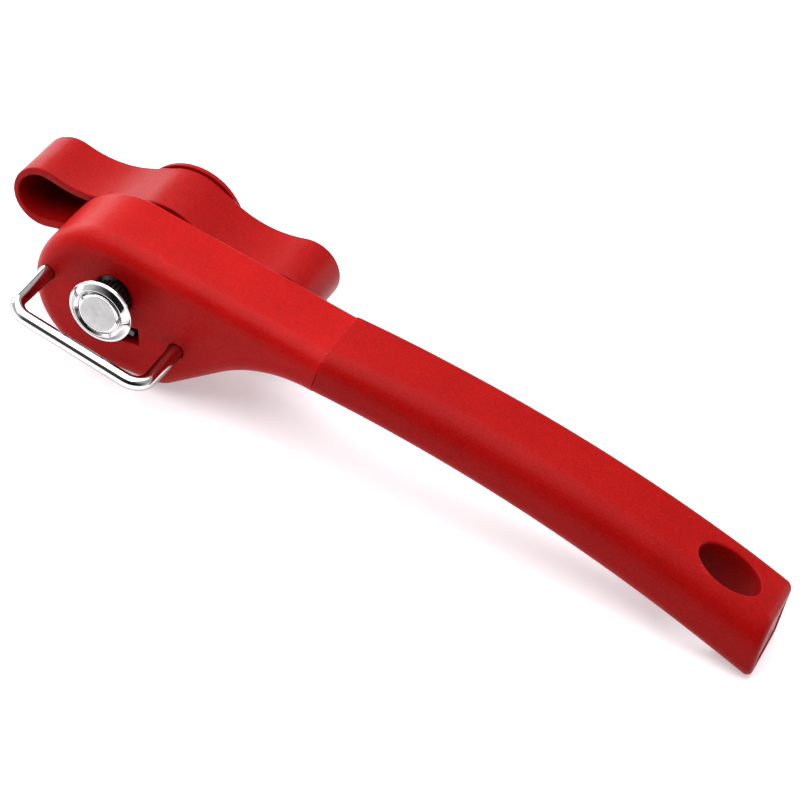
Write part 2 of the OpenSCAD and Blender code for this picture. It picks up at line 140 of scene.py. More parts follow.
# ---- knob ----
LOBE_X, LOBE_R = 32.0, 8.3
MIDDLE_R = 13.3
WAIST = (22.2, 32.9, 26.0)                      # centre and radius of the hollows between the lobes
KNOB_Y = (20.9, 37.4)
KNOB_TURN = 7.3
KNOB_FACE_T = 2.2
KNOB_SIDE_WALL = 2.2
KNOB_TIP_SHIFT = 0.5
KNOB_EDGE_R = 1.0
KNOB_RIM_R = (0.6, 0.45)                        # rounding of the open rim, outside and inside
KNOB_FILLET_R = 1.2
RIB_REACH = 12.2
RIB_HALF = 0.6
HUB_R = 6.5
HUB_Y = 22.62
HUB_CAP_R = 13.7
HUB_CAP_T = 1.7
HUB_CAP_EDGE_R = 0.8
CAP_RECESS = (11.5, 1.0)                        # radius and depth
SQUARE_HALF = 2.05                              # half the width of the hub's square hole
SQUARE_Y = (23.0, 33.3)
KNOB_SCREW_HOLE_R = 1.7

# ---- camera, in metres and degrees ----
CAMERA_AIM = (0.00617, -0.00158, 0.02414)
CAMERA_DISTANCE = 0.6598
CAMERA_AZIMUTH = -15.69
CAMERA_ELEVATION = 41.36
CAMERA_ROLL = 14.99
LENS = 130.2


# ---- outlines: rings of circles (x, z, radius) joined by their common tangents ----
def heading(a, b):
    """Angle at which the common tangent of the circles a and b touches them, in degrees."""
    gap = math.hypot(b[0] - a[0], b[1] - a[1])
    return math.degrees(math.atan2(b[1] - a[1], b[0] - a[0]) - math.acos((a[2] - b[2]) / gap))


def arc(circle, start, end, inset, count):
    """Points along a circle; a negative radius makes a hollow, walked the other way round."""
    turn = (end - start) % 360
    if circle[2] < 0 and turn > 0:
        turn -= 360
    radius = circle[2] - inset
    angles = [math.radians(start + turn * i / count) for i in range(count + 1)]
    return [(circle[0] + radius * math.cos(a), circle[1] + radius * math.sin(a)) for a in angles]


def ring_outline(ring, inset=0.0, count=24):
    points = []
    for i, circle in enumerate(ring):
        before, after = ring[i - 1], ring[(i + 1) % len(ring)]
        points += arc(circle, heading(before, circle), heading(circle, after), inset, count)
    return points


def head_outline(inset):
    into, out = heading(HEAD, CORNER), heading(CORNER, UNDERSIDE)
    top = [(SEAM_X + (HEAD[0] - SEAM_X) * i / 12, NECK_TOP - inset) for i in range(12)]
    return (top + arc(HEAD, 90, into, inset, 64) + arc(CORNER, into, out, inset, 28)
            + arc(UNDERSIDE, out, 270, inset, 32))


COVER_RING = [NECK_FOOT, HEAD, CORNER]


def knob_ring(wall=0.0, shift=0.0):
    ring = []
    for side in (1, -1):
        ring += [(side * (LOBE_X + shift), 0, LOBE_R - wall),
                 (side * WAIST[0], side * WAIST[1], -WAIST[2] - wall),
                 (0, 0, MIDDLE_R - wall),
                 (-side * WAIST[0], side * WAIST[1], -WAIST[2] - wall)]
    return ring


def oval(grow=0.0, count=72):
    """Points of the hanging slot's outline, grown outwards along its normals."""
    a, b = SLOT_SIZE[0] / 2, SLOT_SIZE[1] / 2
    points = []
    for i in range(count):
        t = 2 * math.pi * i / count
        n = Vector((math.cos(t) / a, math.sin(t) / b)).normalized()
        points.append((SLOT_C[0] + a * math.cos(t) + n.x * grow,
                       SLOT_C[1] + b * math.sin(t) + n.y * grow))
    return points


# ---- the grip's section ----
def along(pair, x):
    return pair[0] + (pair[1] - pair[0]) * (x - SEAM_X) / (GRIP_END_X - SEAM_X)


def arc_z(crest, x):
    return crest[1] - crest[2] + math.sqrt(crest[2] ** 2 - (x - crest[0]) ** 2)


END_MIDDLE_Z = (arc_z(TOP_ARC, GRIP_END_X) + arc_z(BOTTOM_ARC, GRIP_END_X)) / 2


def leaning(x, z):
    """x of a point of the section at x, once the end face leans back towards its top."""
    share = max(0.0, 1 - (GRIP_END_X - x) / LEAN_LENGTH)
    return x - math.tan(math.radians(END_LEAN)) * (z - END_MIDDLE_Z) * share


def grip_radii(x):
    """Corner radii: front-top, front-bottom, back-bottom, back-top."""
    grown = min(1.0, max(0.0, (x - SEAM_X) / 30))
    return [5 + 2 * grown, 4.6, 1.6 + grown, 1.4 + 0.6 * grown]


def grip_section(x, inset, face_x):
    y0, y1 = along(GRIP_FRONT, x) + inset, along(GRIP_BACK, x) - inset
    z0, z1 = arc_z(BOTTOM_ARC, x) + inset, arc_z(TOP_ARC, x) - inset
    corners = [(y0, z1, 1, -1, 90), (y0, z0, 1, 1, 180), (y1, z0, -1, 1, 270), (y1, z1, -1, -1, 0)]
    points = []
    for (y, z, dy, dz, start), radius in zip(corners, grip_radii(x)):
        q = max(0.25, radius - inset)
        for i in range(13):
            a = math.radians(start + 90 * i / 12)
            height = z + dz * q + q * math.sin(a)
            points.append((leaning(face_x, height), y + dy * q + q * math.cos(a), height))
    return points


def edge_drop(x, y, front_r, back_r):
    """How far the rounded long edges set a face of the grip back at x, y."""
    drop = 0.0
    for edge, radius in ((y - along(GRIP_FRONT, x), front_r), (along(GRIP_BACK, x) - y, back_r)):
        if edge < radius:
            drop = radius - math.sqrt(max(radius ** 2 - (radius - max(edge, 0)) ** 2, 0))
    return drop


def grip_top(x, y):
    """Height of the grip's upper face at x, y."""
    radii = grip_radii(x)
    return arc_z(TOP_ARC, x) - edge_drop(x, y, radii[0], radii[3]) - SKIN


def grip_bottom(x, y):
    """Height of the grip's lower face at x, y."""
    radii = grip_radii(x)
    return arc_z(BOTTOM_ARC, x) + edge_drop(x, y, radii[1], radii[2]) + SKIN


# ---- mesh helpers: all of them build in the drive frame, in millimetres ----
def mesh_from(name, verts, faces):
    mesh = bpy.data.meshes.new(name)
    mesh.from_pydata([tuple(v) for v in verts], [], faces)
    mesh.validate()
    bm = bmesh.new()
    bm.from_mesh(mesh)
    bmesh.ops.recalc_face_normals(bm, faces=bm.faces)
    bm.to_mesh(mesh)
    bm.free()
    obj = bpy.data.objects.new(name, mesh)
    bpy.context.scene.collection.objects.link(obj)
    return obj


def stack(name, rings):
    """Solid through rings of equal length."""
    n, m = len(rings[0]), len(rings)
    verts = [p for ring in rings for p in ring]
    faces = []
    for k in range(m - 1):
        a, b = k * n, (k + 1) * n
        faces += [(a + i, a + (i + 1) % n, b + (i + 1) % n, b + i) for i in range(n)]
    faces += [tuple(range(n)), tuple(range((m - 1) * n, m * n))]
    return mesh_from(name, verts, faces)


def lathe(name, profile, count=96, centre=(0.0, 0.0)):
    """Turns a profile of (radius, y) about a line along Y; ends at radius 0 become points."""
    verts, rows, faces = [], [], []
    for r, y in profile:
        if r < 1e-6:
            rows.append([len(verts)])
            verts.append((centre[0], y, centre[1]))
        else:
            rows.append(list(range(len(verts), len(verts) + count)))
            verts += [(centre[0] + r * math.cos(2 * math.pi * i / count), y,
                       centre[1] + r * math.sin(2 * math.pi * i / count)) for i in range(count)]
    pairs = list(zip(rows, rows[1:]))
    if len(rows[0]) > 1 and len(rows[-1]) > 1:
        pairs.append((rows[-1], rows[0]))
    for low, high in pairs:
        for i in range(count):
            j = (i + 1) % count
            corner = [low[i % len(low)], low[j % len(low)], high[j % len(high)], high[i % len(high)]]
            face = tuple(dict.fromkeys(corner))
            if len(face) > 2:
                faces.append(face)
    return mesh_from(name, verts, faces)


def quarter(count):
    """How a rounded edge falls away: (1 - sin, 1 - cos) at even steps of a quarter turn."""
    turns = [math.radians(90 * i / count) for i in range(count + 1)]
    return [(1 - math.sin(t), 1 - math.cos(t)) for t in turns]


def rounded(a, b, r_a, r_b, count=10, flat=0.4):
    """(depth, inset) pairs for a slab from a to b with rounded edges and a flat rim ring."""
    steps = [(a, r_a + flat)] if flat else []
    steps += [(a + r_a * deep, r_a * inset) for inset, deep in quarter(count)]
    steps += [(b - r_b * deep, r_b * inset) for inset, deep in quarter(count)[::-1]]
    return steps + ([(b, r_b + flat)] if flat else [])


def slab(name, outline, steps):
    """Prism along Y; outline(inset) gives the ring of (x, z) points at each depth."""
    return stack(name, [[(x, y, z) for x, z in outline(inset)] for y, inset in steps])


def boolean(obj, tool, operation="DIFFERENCE"):
    modifier = obj.modifiers.new("cut", "BOOLEAN")
    modifier.operation, modifier.object, modifier.solver = operation, tool, "EXACT"
    bpy.context.view_layer.update()
    result = bpy.data.meshes.new_from_object(obj.evaluated_get(bpy.context.evaluated_depsgraph_get()))
    obj.modifiers.clear()
    old, obj.data = obj.data, result
    bpy.data.meshes.remove(old)
    bpy.data.objects.remove(tool)
    return obj


def hole(radius, y0, y1, centre=(0.0, 0.0), flare=0.0, flare_back=0.0, count=72):
    """Cutter for a round hole whose mouths at y0 and y1 may be rounded."""
    front, back = [(radius, y0 - 1)], [(radius, y1 + 1)]
    if flare:
        front = [(radius + flare + 0.01, y0 - 1)]
        front += [(radius + flare * out, y0 + flare * deep) for out, deep in quarter(4)]
    if flare_back:
        back = [(radius + flare_back * out, y1 - flare_back * deep)
                for out, deep in quarter(4)[::-1]]
        back.append((radius + flare_back + 0.01, y1 + 1))
    return lathe("cutter", [(0.0, y0 - 1)] + front + back + [(0.0, y1 + 1)], count, centre)


def box_mesh(name, low, high):
    x, y, z = zip(low, high)
    verts = [(a, b, c) for a in x for b in y for c in z]
    return mesh_from(name, verts, [(0, 1, 3, 2), (4, 6, 7, 5), (0, 4, 5, 1), (2, 3, 7, 6),
                                   (0, 2, 6, 4), (1, 5, 7, 3)])


def finish_piece(obj, body, material, stands_for, sharp=38.0):
    obj.data.transform(PLACE)
    obj.data.update()
    for polygon in obj.data.polygons:
        polygon.use_smooth = True
    obj.data.set_sharp_from_angle(angle=math.radians(sharp))
    obj.data.materials.clear()
    obj.data.materials.append(material)
    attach(obj, body)
    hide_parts(stands_for)
    return obj


# ---- materials ----
def material(name):
    mat = bpy.data.materials.new(name)
    mat.use_nodes = True
    nodes = mat.node_tree.nodes
    return mat, nodes, mat.node_tree.links, nodes["Principled BSDF"]


def noise(nodes, links, coords, scale, detail=2.0, roughness=0.5):
    node = nodes.new("ShaderNodeTexNoise")
    node.inputs["Scale"].default_value = scale
    node.inputs["Detail"].default_value = detail
    node.inputs["Roughness"].default_value = roughness
    links.new(coords, node.inputs["Vector"])
    return node.outputs["Fac"]


def grey(value):
    return (value, value, value)


def ramp(nodes, links, factor, stops):
    node = nodes.new("ShaderNodeValToRGB")
    elements = node.color_ramp.elements
    while len(elements) < len(stops):
        elements.new(0.5)
    for element, (position, colour) in zip(elements, stops):
        element.position = position
        element.color = (*colour, 1.0)
    links.new(factor, node.inputs["Fac"])
    return node.outputs["Color"]


def spread(nodes, links, factor, low, high):
    node = nodes.new("ShaderNodeMapRange")
    node.inputs["To Min"].default_value = low
    node.inputs["To Max"].default_value = high
    links.new(factor, node.inputs["Value"])
    return node.outputs["Result"]


def object_coords(nodes):
    return nodes.new("ShaderNodeTexCoord").outputs["Object"]


def mix_colour(nodes, links, factor, a, b, mode="MIX"):
    node = nodes.new("ShaderNodeMix")
    node.data_type, node.blend_type = "RGBA", mode
    for socket, value in ((node.inputs[0], factor), (node.inputs[6], a), (node.inputs[7], b)):
        if isinstance(value, bpy.types.NodeSocket):
            links.new(value, socket)
        elif isinstance(value, tuple):
            socket.default_value = (*value, 1.0)
        else:
            socket.default_value = value
    return node.outputs[2]


def bump(nodes, links, height, distance, strength=1.0, base=None):
    node = nodes.new("ShaderNodeBump")
    node.inputs["Distance"].default_value = distance
    node.inputs["Strength"].default_value = strength
    links.new(height, node.inputs["Height"])
    if base is not None:
        links.new(base, node.inputs["Normal"])
    return node.outputs["Normal"]


def red_plastic(name, seed, painted_shade, gloss):
    """Satin moulded plastic: fine spark-eroded grain, faint flow mottling, and convex edges painted
    paler as a highlight.
    """
    mat, nodes, links, shader = material(name)
    coords = nodes.new("ShaderNodeMapping")
    coords.inputs["Location"].default_value = (seed, seed * 0.7, -seed)
    links.new(object_coords(nodes), coords.inputs["Vector"])
    coords = coords.outputs["Vector"]
    mottling = noise(nodes, links, coords, 90.0, 3.0)
    # The shade factor scales the whole colour down: painted shade for copies of this plastic on parts
    # that get less light.
    colour = ramp(nodes, links, mottling, [(0.25, (0.30 * painted_shade, 0.0028 * painted_shade, 0.0026 * painted_shade)),
                                           (0.75, (0.345 * painted_shade, 0.0038 * painted_shade, 0.0034 * painted_shade))])
    grain = noise(nodes, links, coords, 2600.0, 2.0, 0.6)
    speckle = ramp(nodes, links, grain, [(0.35, grey(0.70)), (0.65, grey(1.0))])
    colour = mix_colour(nodes, links, 1.0, colour, speckle, "MULTIPLY")
    # Convex edges turn paler: a painted highlight standing in for the glossy sheen along them.
    geometry = nodes.new("ShaderNodeNewGeometry")
    painted_edge_highlight = ramp(nodes, links, geometry.outputs["Pointiness"],
                  [(0.52, grey(0.0)), (0.62, grey(1.0))])
    painted_edge_highlight_share = nodes.new("ShaderNodeMath")
    painted_edge_highlight_share.operation = "MULTIPLY"
    painted_edge_highlight_share.inputs[1].default_value = 0.25
    links.new(painted_edge_highlight, painted_edge_highlight_share.inputs[0])
    colour = mix_colour(nodes, links, painted_edge_highlight_share.outputs[0], colour, (0.44, 0.012, 0.012))
    links.new(colour, shader.inputs["Base Color"])
    smears = noise(nodes, links, coords, 160.0, 4.0, 0.6)
    links.new(spread(nodes, links, smears, 0.3, 0.42), shader.inputs["Roughness"])
    waviness = bump(nodes, links, noise(nodes, links, coords, 380.0, 2.0), 0.00004, 0.5)
    links.new(bump(nodes, links, grain, 0.00007, 1.0, waviness), shader.inputs["Normal"])
    shader.inputs["IOR"].default_value = 1.54
    shader.inputs["Specular IOR Level"].default_value = gloss
    return mat


def metal(name, dark, light, scale, rough, grain_depth, outline=1.0):
    """Bare or plated metal with faint tarnish, uneven polish and fine surface marks.

    dark and light bound its colour, rough its roughness; outline darkens it where it turns away from
    view, a painted shade in place of dark reflections along its rims.
    """
    mat, nodes, links, shader = material(name)
    coords = object_coords(nodes)
    tarnish = ramp(nodes, links, noise(nodes, links, coords, scale, 4.0, 0.6),
                   [(0.3, dark), (0.7, light)])
    # Painted shade: the colour darkens where the surface turns away from view, standing in for dark
    # reflections along rims.
    weight = nodes.new("ShaderNodeLayerWeight")
    edge = ramp(nodes, links, weight.outputs["Facing"],
                [(0.35, grey(1.0)), (0.7, grey(outline))])
    links.new(mix_colour(nodes, links, 1.0, tarnish, edge, "MULTIPLY"), shader.inputs["Base Color"])
    links.new(spread(nodes, links, noise(nodes, links, coords, scale * 3, 4.0, 0.65), *rough),
              shader.inputs["Roughness"])
    links.new(bump(nodes, links, noise(nodes, links, coords, scale * 12, 2.0), grain_depth, 0.6),
              shader.inputs["Normal"])
    shader.inputs["Metallic"].default_value = 1.0
    return mat


def lapped_steel(name):
    """The cap on the cutting wheel: a matt lapped centre with faint rings, polished outside it."""
    mat, nodes, links, shader = material(name)
    coords = object_coords(nodes)
    from_axis = nodes.new("ShaderNodeMapping")
    from_axis.inputs["Location"].default_value = -joint_at["knob_spin"]
    links.new(coords, from_axis.inputs["Vector"])
    rings = nodes.new("ShaderNodeTexWave")
    rings.wave_type, rings.rings_direction = "RINGS", "Y"
    rings.inputs["Scale"].default_value = 900.0
    rings.inputs["Distortion"].default_value = 2.0
    rings.inputs["Detail"].default_value = 2.0
    links.new(from_axis.outputs["Vector"], rings.inputs["Vector"])
    flatten = nodes.new("ShaderNodeVectorMath")
    flatten.operation = "MULTIPLY"
    flatten.inputs[1].default_value = (200.0, 0.0, 200.0)       # 5 mm from the axis becomes 1
    links.new(from_axis.outputs["Vector"], flatten.inputs[0])
    radius = nodes.new("ShaderNodeVectorMath")
    radius.operation = "LENGTH"
    links.new(flatten.outputs["Vector"], radius.inputs[0])
    polished = ramp(nodes, links, radius.outputs["Value"],
                    [(0.895, grey(0.0)), (0.91, grey(1.0))])
    blotches = noise(nodes, links, coords, 500.0, 4.0, 0.6)
    lapped = ramp(nodes, links, blotches, [(0.3, grey(0.38)), (0.7, (0.50, 0.50, 0.49))])
    bright = ramp(nodes, links, blotches, [(0.3, grey(0.60)), (0.7, grey(0.66))])
    links.new(mix_colour(nodes, links, polished, lapped, bright), shader.inputs["Base Color"])
    matt = ramp(nodes, links, blotches, [(0.3, grey(0.36)), (0.7, grey(0.5))])
    fine = ramp(nodes, links, blotches, [(0.3, grey(0.06)), (0.7, grey(0.12))])
    links.new(mix_colour(nodes, links, polished, matt, fine), shader.inputs["Roughness"])
    links.new(bump(nodes, links, rings.outputs["Fac"], 0.000015, 0.5), shader.inputs["Normal"])
    shader.inputs["Metallic"].default_value = 1.0
    return mat


# The grip's and the knob's copies are darker than the head's: painted shade for the light falling off
# along the grip and over the knob.
RED_HEAD = red_plastic("red_plastic_head", 0.0, 1.0, 0.05)
RED_GRIP = red_plastic("red_plastic_grip", 1.3, 0.84, 0.04)
RED_KNOB = red_plastic("red_plastic_knob", 2.9, 0.8, 0.055)
CHROME = metal("chrome_plate", grey(0.54), grey(0.63), 160.0, (0.04, 0.12),
               0.000004, outline=0.35)
LAPPED = lapped_steel("lapped_steel")
STEEL = metal("zinc_plated_steel", (0.45, 0.45, 0.46), (0.68, 0.68, 0.66), 220.0, (0.22, 0.4),
              0.00001)
# Hardened steel made near-black: its dark colour is partly painted shade for the dark zone behind the
# cutting wheel, where the feed wheel, shaft and bush sit.
DARK_STEEL = metal("hardened_steel", (0.035, 0.03, 0.03), (0.06, 0.055, 0.055), 300.0,
                   (0.28, 0.42), 0.00001)
# Blacked steel for the stop plate; its near-black colour is also painted shade for the dim window it
# shows through.
BLACKED = metal("blacked_steel_in_painted_shade", (0.04, 0.04, 0.042), grey(0.10), 300.0, (0.3, 0.5),
                0.00001)
BRONZE = metal("sintered_bronze", (0.35, 0.20, 0.08), (0.55, 0.35, 0.15), 600.0, (0.35, 0.55),
               0.00002)


# ---- pieces ----
def make_head():
    head = slab("opener_head", lambda inset: head_outline(inset + SKIN),
                rounded(0.02, HEAD_DEPTH - 0.02, FRONT_EDGE_R, BACK_EDGE_R, 12))
    cavity = slab("cavity", lambda inset: ring_outline(COVER_RING, inset),
                  [(FRONT_WALL, CAVITY_INSET), (HEAD_DEPTH + 1, CAVITY_INSET)])
    seat_y = HEAD_DEPTH - COVER_T - 0.15
    posts = [(BUSH_AXIS, BOSS_R, seat_y, 64)] + [(p, SCREW_POST_R, seat_y, 64) for p in SCREWS]
    posts += [(p, LEG_POST_R, LEG_END_Y - 0.1, 48) for p in LEGS]
    for centre, radius, end_y, count in posts:
        cavity = boolean(cavity, lathe("post", [(0, FRONT_WALL - 1), (radius, FRONT_WALL - 1),
                                                (radius, end_y), (0, end_y)], count, centre))
    boolean(head, cavity)
    rebate = slab("rebate", lambda inset: ring_outline(COVER_RING, inset),
                  [(HEAD_DEPTH - COVER_T - 0.1, COVER_INSET), (HEAD_DEPTH - 0.4, COVER_INSET),
                   (HEAD_DEPTH + 0.2, COVER_INSET - 0.6)])
    boolean(head, rebate)
    boolean(head, hole(FRONT_HOLE_R, 0.02, SLEEVE_Y + 0.5, flare=0.7, centre=BUSH_AXIS, count=96))
    boolean(head, hole(SLEEVE_R, SLEEVE_Y + 1, HEAD_DEPTH, centre=BUSH_AXIS, count=96))
    for centre in LEGS:
        boolean(head, hole(LEG_ROOT_R + 0.06, 0.02, HEAD_DEPTH - COVER_T - 1, centre, flare=0.3))
    for centre in SCREWS:
        boolean(head, hole(PILOT_R, 7.0, HEAD_DEPTH, centre, count=32))
    boolean(head, slab("window", window_outline,
                       [(-1.0, -0.25), (0.02, -0.25), (0.25, 0), (5.9, 0)]))
    (y0, y1), (z0, z1), length = TANG
    boolean(head, box_mesh("tang", (SEAM_X - 2, y0, z0), (SEAM_X + length, y1, z1)), "UNION")
    return finish_piece(head, "root", RED_HEAD, "head_housing", 30)


def window_outline(inset):
    """The small turned window beside the wheel, where the stop plate shows."""
    half_x, half_z = WINDOW_SIZE[0] / 2 - inset, WINDOW_SIZE[1] / 2 - inset
    turn = math.radians(WINDOW_TURN)
    corners = ((-half_x, -half_z), (half_x, -half_z), (half_x, half_z), (-half_x, half_z))
    return [(WINDOW_C[0] + x * math.cos(turn) - z * math.sin(turn),
             WINDOW_C[1] + x * math.sin(turn) + z * math.cos(turn)) for x, z in corners]


def make_rear_cover():
    cover = slab("opener_rear_cover",
                 lambda inset: ring_outline(COVER_RING, inset + COVER_INSET + 0.12),
                 rounded(HEAD_DEPTH - COVER_T, HEAD_DEPTH - 0.02, 0.1, 0.5, 5))
    boolean(cover, hole(SLEEVE_R, HEAD_DEPTH - COVER_T, HEAD_DEPTH - 0.02, BUSH_AXIS, flare_back=0.4,
                        count=96))
    for centre in SCREWS:
        boolean(cover, hole(SHANK_HOLE_R, HEAD_DEPTH - COVER_T, HEAD_DEPTH, centre, count=32))
        boolean(cover, hole(SCREW_HEAD_R, HEAD_DEPTH - 0.7, HEAD_DEPTH - 0.02, centre,
                            flare_back=0.25, count=48))
    return finish_piece(cover, "root", RED_HEAD, "rear_cover", 30)


def make_grip():
    rings = [grip_section(SEAM_X, SKIN + 0.8, SEAM_X + SEAM_GAP)]
    rings += [grip_section(SEAM_X, SKIN + SEAM_EDGE_R * inset, SEAM_X + SEAM_GAP + SEAM_EDGE_R * deep)
              for inset, deep in quarter(3)]
    start, end = SEAM_X + SEAM_GAP + SEAM_EDGE_R, GRIP_END_X - END_EDGE_R
    for i in range(1, 73):
        x = start + (end - start) * i / 72
        rings.append(grip_section(x, SKIN, x))
    for left, inset in quarter(8)[1:]:
        x = GRIP_END_X - END_EDGE_R * left
        rings.append(grip_section(x, SKIN + END_EDGE_R * inset, x - SKIN))
    rings.append(grip_section(GRIP_END_X, SKIN + END_EDGE_R + 0.4, GRIP_END_X - SKIN))
    grip = stack("opener_grip", rings)
    boolean(grip, slot_cutter())
    (y0, y1), (z0, z1), length = TANG
    boolean(grip, box_mesh("socket", (SEAM_X - 1, y0 - SOCKET_GAP, z0 - SOCKET_GAP),
                           (SEAM_X + length + 0.3, y1 + SOCKET_GAP, z1 + SOCKET_GAP)))
    boolean(grip, plug_block("recess", (GRIP_END_X - PLUG_T, GRIP_END_X + 1), (0, 0), -PLUG_GAP))
    return finish_piece(grip, "root", RED_GRIP, "grip", 30)


def slot_cutter():
    """Cutter for the hanging slot, with rounded mouths that follow the curved faces."""
    top, under = [], []
    for deep, out in quarter(6):
        outline = oval(SLOT_EDGE_R * out)
        top.append([(x, y, grip_top(x, y) - SLOT_EDGE_R * deep) for x, y in outline])
        under.append([(x, y, grip_bottom(x, y) + SLOT_EDGE_R * deep) for x, y in outline])
    above = [(x, y, z + 3) for x, y, z in top[-1]]
    below = [(x, y, z - 3) for x, y, z in under[-1]]
    return stack("slot", [above] + top[::-1] + under + [below])


def plug_block(name, depths, edges, inset):
    """Plate set into the leaning end face, through the given depths."""
    inset += END_EDGE_R + PLUG_INSET
    y0, y1 = GRIP_FRONT[1] + inset, GRIP_BACK[1] - inset
    z0, z1 = arc_z(BOTTOM_ARC, GRIP_END_X) + inset, arc_z(TOP_ARC, GRIP_END_X) - inset
    rings = [[(x, y0 + e, z0 + e), (x, y1 - e, z0 + e), (x, y1 - e, z1 - e), (x, y0 + e, z1 - e)]
             for x, e in zip(depths, edges)]
    return lean(stack(name, rings))


def lean(obj):
    middle = Vector((GRIP_END_X, 0, END_MIDDLE_Z))
    obj.data.transform(Matrix.Translation(middle) @ Matrix.Rotation(-math.radians(END_LEAN), 4, "Y")
                       @ Matrix.Translation(-middle))
    return obj


def make_end_plug():
    back, face = GRIP_END_X - PLUG_T + 0.05, GRIP_END_X - PLUG_SUNK
    plug = plug_block("opener_end_plug", (back, face - 0.3, face - 0.09, face, face),
                      (0, 0, 0.09, 0.3, 0.6), 0.0)
    mouth_r = GATE_R + 0.15
    gate = lathe("gate", [(0, 0), (GATE_R, 0), (GATE_R, 0.6), (mouth_r, 0.75), (mouth_r, 2),
                          (0, 2)], 32)
    gate.data.transform(Matrix.Translation((GRIP_END_X - 0.9, 10.0, END_MIDDLE_Z))
                        @ Matrix.Rotation(-math.pi / 2, 4, "Z"))
    boolean(plug, lean(gate))
    return finish_piece(plug, "root", RED_GRIP, "end_plug", 25)


def make_guard_wire():
    """Sweeps a round section along the legs, the bends and the cross bar."""
    span = math.hypot(LEGS[1][0] - LEGS[0][0], LEGS[1][1] - LEGS[0][1])
    tilt = math.atan2(LEGS[1][1] - LEGS[0][1], LEGS[1][0] - LEGS[0][0])
    bend_y = WIRE_BEND_R - GUARD_REACH
    leg = [(LEG_END_Y + SPIGOT[1], SPIGOT[0]), (LEG_END_Y, SPIGOT[0]),
           (LEG_END_Y - 0.02, LEG_ROOT_R), (0.0, LEG_ROOT_R)]
    leg += [(bend_y * i / 10, LEG_ROOT_R + (WIRE_R - LEG_ROOT_R) * i / 10) for i in range(1, 11)]
    path = [(Vector((0, y)), Vector((0, -1)), r) for y, r in leg]
    for i in range(1, 13):
        t = math.radians(180 + 7.5 * i)
        path.append((Vector((WIRE_BEND_R * (1 + math.cos(t)), bend_y + WIRE_BEND_R * math.sin(t))),
                     Vector((-math.sin(t), math.cos(t))), WIRE_R))
    half = len(path)
    path += [(Vector((WIRE_BEND_R + (span - 2 * WIRE_BEND_R) * i / 10, -GUARD_REACH)),
              Vector((1, 0)), WIRE_R) for i in range(1, 10)]
    mirrored = [(Vector((span - p.x, p.y)), Vector((d.x, -d.y)), r)
                for p, d, r in path[:half]][::-1]
    rings = []
    for point, direction, radius in path + mirrored:
        side = Vector((-direction.y, direction.x))
        ring = []
        for i in range(36):
            a = 2 * math.pi * i / 36
            x = point.x + side.x * radius * math.cos(a)
            y = point.y + side.y * radius * math.cos(a)
            z = radius * math.sin(a)
            ring.append((LEGS[0][0] + x * math.cos(tilt) - z * math.sin(tilt), y,
                         LEGS[0][1] + x * math.sin(tilt) + z * math.cos(tilt)))
        rings.append(ring)
    return finish_piece(stack("opener_guard_wire", rings), "root", CHROME,
                        "guard_wire", 50)


def make_cutter_wheel():
    """Flat rim, a dished cone up to a ridge, and a bevelled seat for the cap."""
    back, front = CUTTER_Y[1], 0.02 - WHEEL_REACH
    seat_y = CUTTER_Y[0] - 0.1
    profile = [(SHAFT_R + 1, back), (RIDGE_R - 0.2, back)]
    profile += [(RIDGE_R - 0.2 + (CUTTER_R - RIDGE_R + 0.2) * t, back + (RIM_Y + 0.4 - back) * t)
                for t in (0.33, 0.66, 1.0)]
    profile += [(CUTTER_R, RIM_Y + 0.14), (CUTTER_R - 0.04, RIM_Y + 0.05),
                (CUTTER_R - 0.12, RIM_Y + 0.01), (CUTTER_R - 0.2, RIM_Y),
                (RIM_INNER_R + 0.12, RIM_Y)]
    rise, run = RIM_Y - front, RIM_INNER_R - RIDGE_R
    for i in range(9):
        t = i / 8
        profile.append((RIM_INNER_R - run * t, RIM_Y - rise * (0.8 * t + 0.2 * t * t) * 0.93))
    profile += [(RIDGE_R - 0.05, front + 0.02), (RIDGE_R - 0.1, front), (RIDGE_R - 0.18, front),
                (RIDGE_R - 0.24, front + 0.03)]
    inner = CAP_R + 0.34
    for i in range(1, 7):
        t = i / 6
        profile.append((RIDGE_R - 0.24 - (RIDGE_R - 0.24 - inner) * t, front + 0.05 + 0.4 * t))
    profile += [(CAP_R + 0.3, front + 0.5), (CAP_R + 0.3, seat_y), (SHAFT_R + 1, seat_y)]
    return finish_piece(lathe("opener_cutter_wheel", profile, 144), "cutter", CHROME,
                        "cutter_wheel", 40)


def make_wheel_cap():
    """Lapped end face with a centre mark, a bright groove and a rounded edge."""
    back, front = CUTTER_Y[0] - 0.25, 0.17 - WHEEL_REACH
    profile = [(0, back), (CAP_R, back), (CAP_R, front + 0.3)]
    profile += [(CAP_R - 0.45 * inset, front + 0.02 + 0.28 * low) for low, inset in quarter(6)[1:]]
    profile += [(GROOVE_R + 0.08, front + 0.03), (GROOVE_R + 0.02, front + 0.07),
                (GROOVE_R - 0.04, front + 0.07), (GROOVE_R - 0.1, front),
                (GROOVE_R - 0.2, front), (2.0, front), (0.45, front), (0.3, front + 0.04),
                (0.12, front + 0.12), (0, front + 0.14)]
    return finish_piece(lathe("opener_wheel_cap", profile, 144), "drive", LAPPED,
                        "wheel_cap", 50)


